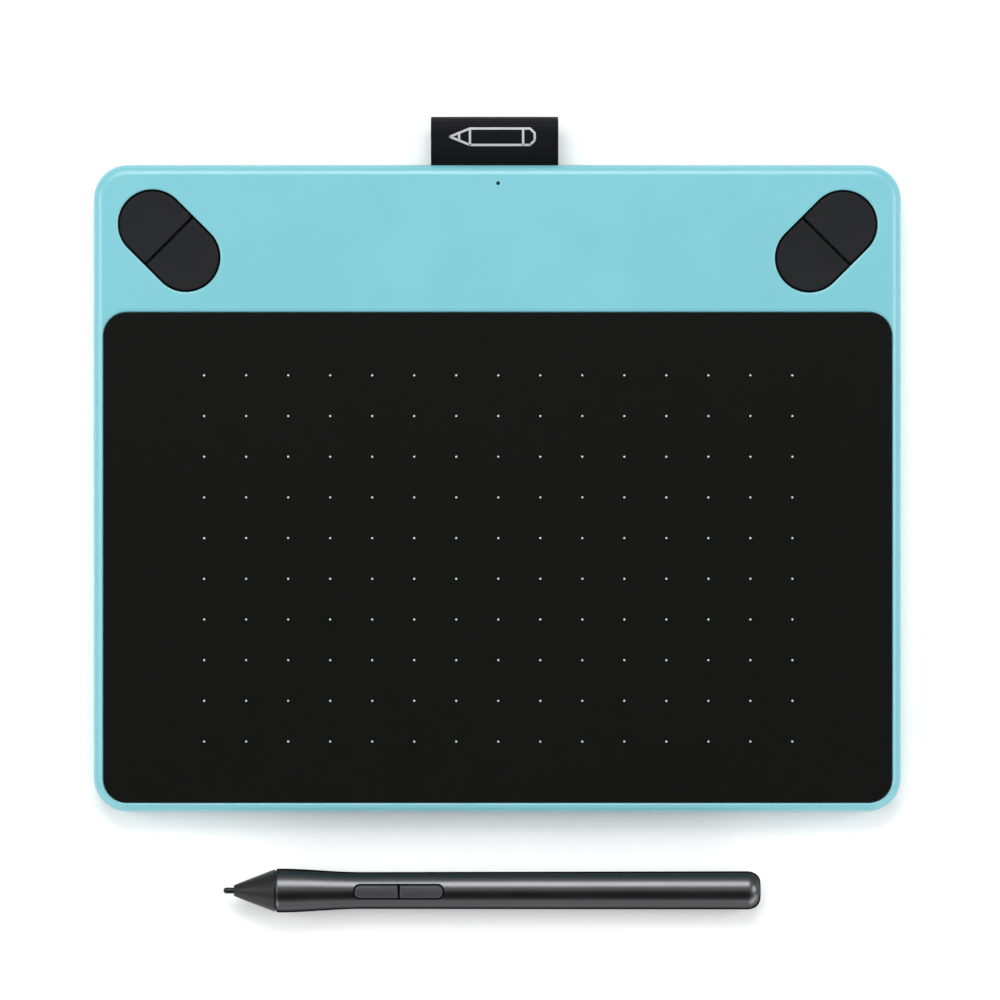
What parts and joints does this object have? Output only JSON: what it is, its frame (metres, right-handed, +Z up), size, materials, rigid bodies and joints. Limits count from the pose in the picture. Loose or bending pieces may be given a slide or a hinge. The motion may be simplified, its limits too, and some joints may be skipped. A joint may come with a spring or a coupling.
{
  "type": "pen drawing tablet",
  "caption": "Flat pen drawing tablet with a dotted drawing sheet, slanted corner keys, a woven pen loop, a sliding door underneath and a two-button pen lying in front.",
  "frame": {"origin": "on the table, under the middle of the whole set's footprint: the tablet with its pen loop, and the pen lying in front", "axes": "+X to the user's right along the tablet's long side, +Y to the rear edge with the pen loop, +Z up"},
  "size_m": [0.21, 0.207, 0.0114],
  "materials": {
    "cover": "fine-textured satin moulded plastic, mint blue",
    "drawing_sheet": "matt black film with a paper-like tooth and a grid of pale dots",
    "key": "satin dark grey moulded plastic",
    "ribbon": "black ribbed woven ribbon",
    "foot": "matt dark grey rubber",
    "steel": "bright steel",
    "contact_metal": "gold-plated spring metal",
    "winding": "enamelled copper wire, wound tight",
    "circuit_board": "green solder mask",
    "chip": "matt black moulded plastic",
    "flex_film": "amber film",
    "clear_plastic": "clear moulded plastic",
    "white_plastic": "natural white moulded plastic",
    "pen_barrel": "satin dark grey moulded plastic",
    "pen_trim": "matt dark grey moulded plastic",
    "nib": "smooth black acetal",
    "ferrite": "dark grey sintered ferrite",
    "bumper": "soft black rubber"
  },
  "bodies": {
    "tablet": {"top_cover": "cover", "bottom_cover": "cover", "drawing_surface": "drawing_sheet", "usb_socket": "steel", "pen_loop": "ribbon", "foot_front_left": "foot", "foot_front_right": "foot", "foot_rear_left": "foot", "foot_rear_right": "foot", "screw_front_left": "steel", "screw_front_right": "steel", "screw_rear_left": "steel", "screw_rear_right": "steel", "key_left_inner_switch": "chip", "key_left_outer_switch": "chip", "key_right_inner_switch": "chip", "key_right_outer_switch": "chip", "spare_nib_1": "nib", "spare_nib_2": "nib", "spare_nib_3": "nib", "sensor_board": "circuit_board", "shield_plate": "steel", "main_board": "circuit_board", "controller_chip": "chip", "sensor_chip": "chip", "flex_connector": "white_plastic", "flex_cable": "flex_film", "status_led": "white_plastic", "light_guide": "clear_plastic", "loop_anchor": "white_plastic", "battery_contact_front": "contact_metal", "battery_contact_rear": "contact_metal", "module_connector": "chip", "nib_ring": "steel"},
    "door": {"accessory_door": "cover"},
    "key_left_inner": {"key_left_inner": "key", "key_left_inner_plunger": "white_plastic"},
    "key_left_outer": {"key_left_outer": "key", "key_left_outer_plunger": "white_plastic"},
    "key_right_inner": {"key_right_inner": "key", "key_right_inner_plunger": "white_plastic"},
    "key_right_outer": {"key_right_outer": "key", "key_right_outer_plunger": "white_plastic"},
    "pen": {"pen_barrel": "pen_barrel", "pen_nose": "pen_trim", "ferrite_core": "ferrite", "pen_coil": "winding", "pressure_sensor": "chip", "pen_board": "circuit_board", "pen_carrier": "chip", "rear_bumper": "bumper", "side_switch_front_contact": "white_plastic", "side_switch_rear_contact": "white_plastic"},
    "nib_holder": {"nib_holder": "white_plastic"},
    "nib": {"pen_nib": "nib"},
    "side_switch_front": {"side_switch_front": "pen_trim"},
    "side_switch_rear": {"side_switch_rear": "pen_trim"}
  },
  "joints": [
    {"name": "key_left_inner_press", "type": "slide", "parent": "tablet", "child": "key_left_inner", "axis": [0, 0, -1], "range_m": [0, 0.0005], "stiffness_N_per_m": 800},
    {"name": "key_left_outer_press", "type": "slide", "parent": "tablet", "child": "key_left_outer", "axis": [0, 0, -1], "range_m": [0, 0.0005], "stiffness_N_per_m": 800},
    {"name": "key_right_inner_press", "type": "slide", "parent": "tablet", "child": "key_right_inner", "axis": [0, 0, -1], "range_m": [0, 0.0005], "stiffness_N_per_m": 800},
    {"name": "key_right_outer_press", "type": "slide", "parent": "tablet", "child": "key_right_outer", "axis": [0, 0, -1], "range_m": [0, 0.0005], "stiffness_N_per_m": 800},
    {"name": "door_slide", "type": "slide", "parent": "tablet", "child": "door", "axis": [0, 1, 0], "range_m": [0, 0.046]},
    {"name": "pen_lift", "type": "slide", "parent": "tablet", "child": "pen", "axis": [0, 0, 1], "range_m": [0, 0.12]},
    {"name": "nib_press", "type": "slide", "parent": "pen", "child": "nib_holder", "axis": [1, 0, -0.006], "range_m": [0, 0.0004], "stiffness_N_per_m": 800},
    {"name": "nib_pull", "type": "slide", "parent": "nib_holder", "child": "nib", "axis": [-1, 0, 0.006], "range_m": [0, 0.025]},
    {"name": "side_switch_front_press", "type": "slide", "parent": "pen", "child": "side_switch_front", "axis": [-0.006, 0, -1], "range_m": [0, 0.0003], "stiffness_N_per_m": 1000},
    {"name": "side_switch_rear_press", "type": "slide", "parent": "pen", "child": "side_switch_rear", "axis": [-0.006, 0, -1], "range_m": [0, 0.0003], "stiffness_N_per_m": 1000}
  ]
}
